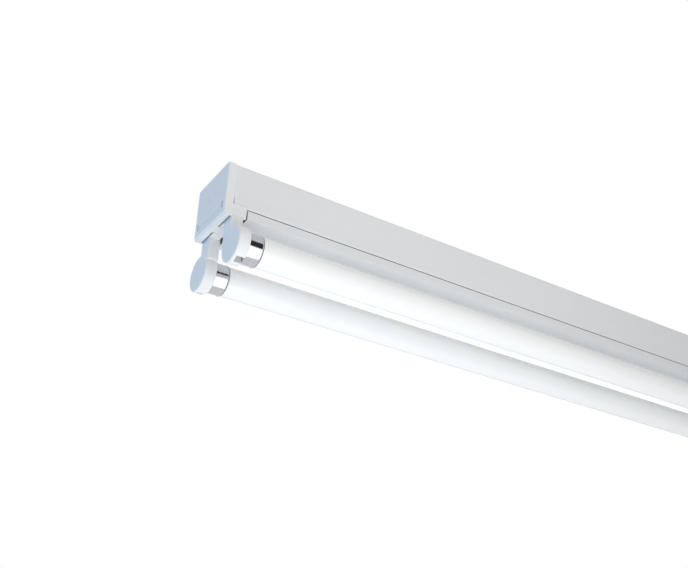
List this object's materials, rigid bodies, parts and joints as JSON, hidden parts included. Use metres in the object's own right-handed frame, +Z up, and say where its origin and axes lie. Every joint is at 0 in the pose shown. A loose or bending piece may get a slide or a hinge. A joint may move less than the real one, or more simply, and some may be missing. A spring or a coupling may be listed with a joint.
{
  "type": "twin tube light batten",
  "caption": "Slim folded steel ceiling batten holding two straight LED tubes side by side in rotary lampholders, with moulded end caps.",
  "frame": {"origin": "centre of the flat top face that lies against the ceiling", "axes": "+X along the batten, +Y to its rear side, +Z up into the ceiling"},
  "size_m": [1.236, 0.0926, 0.0925],
  "materials": {
    "enamelled_steel": "smooth white stove enamel on folded sheet steel",
    "white_moulding": "moulded white polycarbonate, satin gloss",
    "rotor_moulding": "moulded white rotor",
    "contact_metal": "sprung phosphor bronze strip",
    "pin_metal": "turned brass",
    "opal_glass": "glass tube with a white diffusing coat inside",
    "ferrule_aluminium": "bright drawn aluminium",
    "insulator": "moulded insulating disc",
    "board_white": "white solder resist on a strip board",
    "led_phosphor": "yellow phosphor light source",
    "board_green": "green circuit board with parts",
    "zinc_steel": "bright zinc plated steel",
    "terminal_plastic": "moulded polyamide",
    "black_rubber": "soft moulded rubber",
    "wire_brown": "brown insulation",
    "wire_blue": "blue insulation",
    "wire_green": "green and yellow insulation"
  },
  "bodies": {
    "housing": {"spine": "enamelled_steel", "cover": "enamelled_steel", "bridge_left": "enamelled_steel", "bridge_right": "enamelled_steel", "end_cap_left": "white_moulding", "end_cap_right": "white_moulding", "holder_body_front_left": "white_moulding", "holder_body_front_right": "white_moulding", "holder_body_rear_left": "white_moulding", "holder_body_rear_right": "white_moulding", "holder_back_front_left": "white_moulding", "holder_back_front_right": "white_moulding", "holder_back_rear_left": "white_moulding", "holder_back_rear_right": "white_moulding", "contact_front_left": "contact_metal", "contact_front_right": "contact_metal", "contact_rear_left": "contact_metal", "contact_rear_right": "contact_metal", "terminal_screws": "zinc_steel", "earth_stud": "zinc_steel", "earth_nut": "pin_metal", "terminal_block": "terminal_plastic", "cable_grommet": "black_rubber", "wires_left": "wire_brown", "wires_right": "wire_blue", "wire_earth": "wire_green", "wire_clips": "white_moulding"},
    "lamp_front": {"lamp_tube_front": "opal_glass", "ferrule_front_left": "ferrule_aluminium", "ferrule_front_right": "ferrule_aluminium", "base_disc_front_left": "insulator", "base_disc_front_right": "insulator", "lamp_pins_front": "pin_metal", "led_board_front": "board_white", "led_chips_front": "led_phosphor", "lamp_supply_front": "board_green"},
    "lamp_rear": {"lamp_tube_rear": "opal_glass", "ferrule_rear_left": "ferrule_aluminium", "ferrule_rear_right": "ferrule_aluminium", "base_disc_rear_left": "insulator", "base_disc_rear_right": "insulator", "lamp_pins_rear": "pin_metal", "led_board_rear": "board_white", "led_chips_rear": "led_phosphor", "lamp_supply_rear": "board_green"},
    "rotor_front_left": {"rotor_front_left": "rotor_moulding"},
    "rotor_front_right": {"rotor_front_right": "rotor_moulding"},
    "rotor_rear_left": {"rotor_rear_left": "rotor_moulding"},
    "rotor_rear_right": {"rotor_rear_right": "rotor_moulding"},
    "fastener_left": {"cover_fastener_left": "zinc_steel", "fastener_washer_left": "zinc_steel"},
    "fastener_right": {"cover_fastener_right": "zinc_steel", "fastener_washer_right": "zinc_steel"}
  },
  "joints": [
    {"name": "lamp_front_turn", "type": "hinge", "parent": "housing", "child": "lamp_front", "pos_m": [0, -0.0302, -0.0764], "axis": [1, 0, 0], "range_deg": [0, 90]},
    {"name": "rotor_front_left_turn", "type": "hinge", "parent": "housing", "child": "rotor_front_left", "pos_m": [-0.605, -0.0302, -0.0764], "axis": [1, 0, 0], "range_deg": [0, 90]},
    {"name": "rotor_front_right_turn", "type": "hinge", "parent": "housing", "child": "rotor_front_right", "pos_m": [0.605, -0.0302, -0.0764], "axis": [1, 0, 0], "range_deg": [0, 90]},
    {"name": "lamp_rear_turn", "type": "hinge", "parent": "housing", "child": "lamp_rear", "pos_m": [0, 0.0302, -0.0764], "axis": [1, 0, 0], "range_deg": [0, 90]},
    {"name": "rotor_rear_left_turn", "type": "hinge", "parent": "housing", "child": "rotor_rear_left", "pos_m": [-0.605, 0.0302, -0.0764], "axis": [1, 0, 0], "range_deg": [0, 90]},
    {"name": "rotor_rear_right_turn", "type": "hinge", "parent": "housing", "child": "rotor_rear_right", "pos_m": [0.605, 0.0302, -0.0764], "axis": [1, 0, 0], "range_deg": [0, 90]},
    {"name": "fastener_left_turn", "type": "hinge", "parent": "housing", "child": "fastener_left", "pos_m": [-0.188, 0, -0.049], "axis": [0, 0, 1], "range_deg": [0, 90]},
    {"name": "fastener_right_turn", "type": "hinge", "parent": "housing", "child": "fastener_right", "pos_m": [0.188, 0, -0.049], "axis": [0, 0, 1], "range_deg": [0, 90]}
  ],
  "couplings": [
    {"joint": "rotor_front_left_turn", "follows": "lamp_front_turn", "ratio": 1},
    {"joint": "rotor_front_right_turn", "follows": "lamp_front_turn", "ratio": 1},
    {"joint": "rotor_rear_left_turn", "follows": "lamp_rear_turn", "ratio": 1},
    {"joint": "rotor_rear_right_turn", "follows": "lamp_rear_turn", "ratio": 1}
  ]
}
